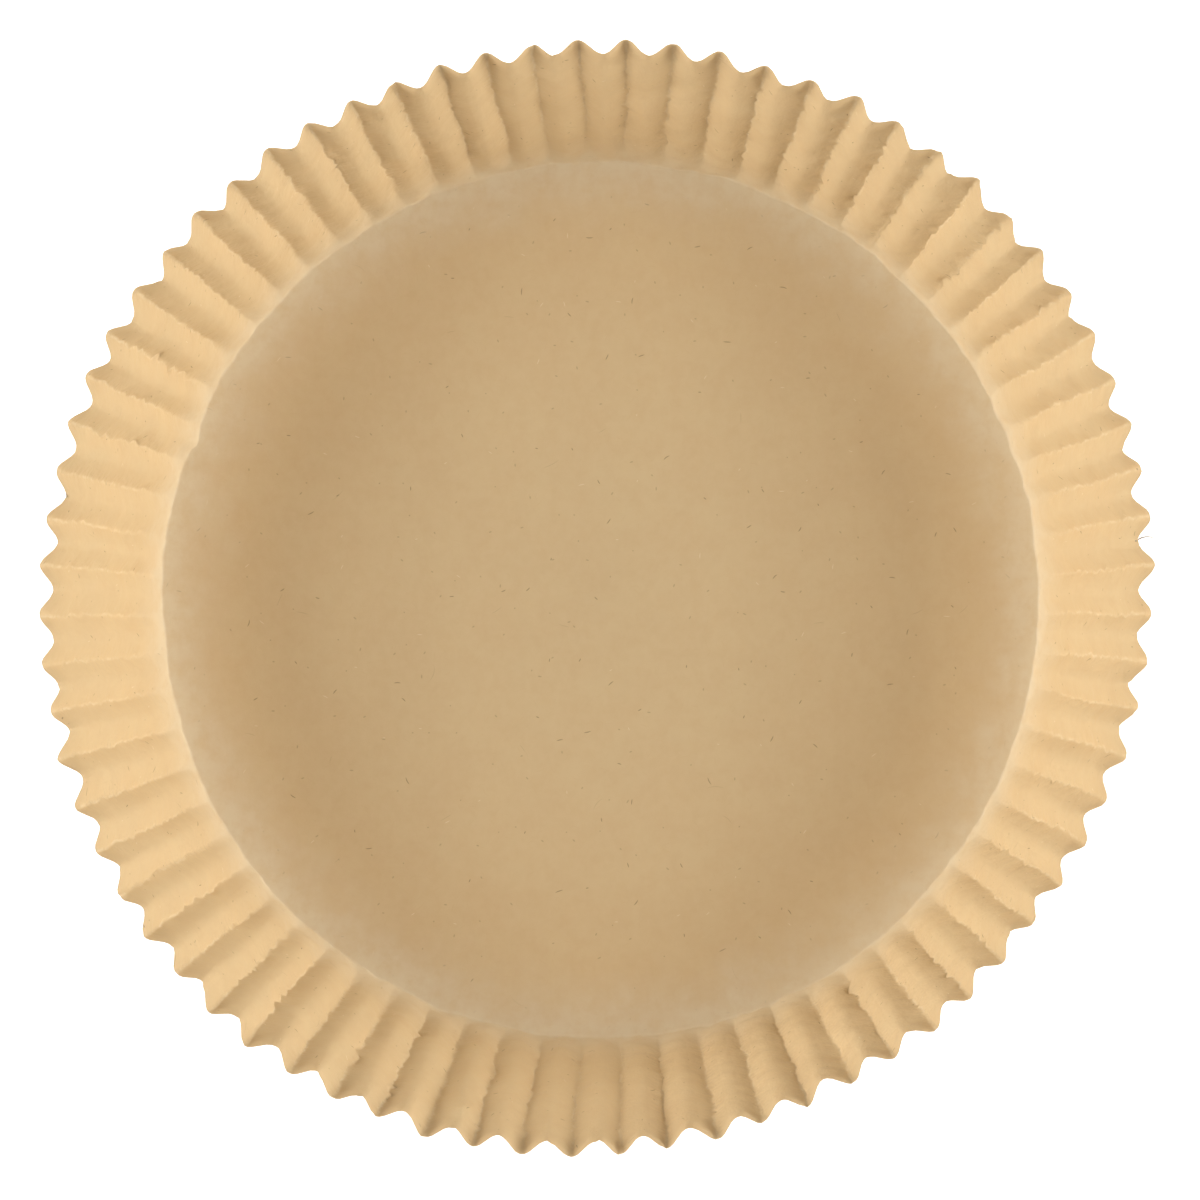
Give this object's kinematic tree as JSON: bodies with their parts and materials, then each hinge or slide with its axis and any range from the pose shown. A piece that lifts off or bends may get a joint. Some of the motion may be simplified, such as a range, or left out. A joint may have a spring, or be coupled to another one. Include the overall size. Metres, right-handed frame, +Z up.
{
  "type": "air fryer paper liner",
  "caption": "Round shallow cup pressed from one sheet of greaseproof paper, with a flat floor and a sloping fluted wall, to line an air fryer basket.",
  "frame": {"origin": "middle of the underside of the flat floor", "axes": "+Z up through the open top, with the middle of a bay of the wall along +X and another along +Y"},
  "size_m": [0.1998, 0.1998, 0.045],
  "materials": {
    "kraft_paper": "unbleached greaseproof paper, matt with a faint sheen"
  },
  "bodies": {
    "root": {"liner": "kraft_paper"}
  },
  "joints": []
}
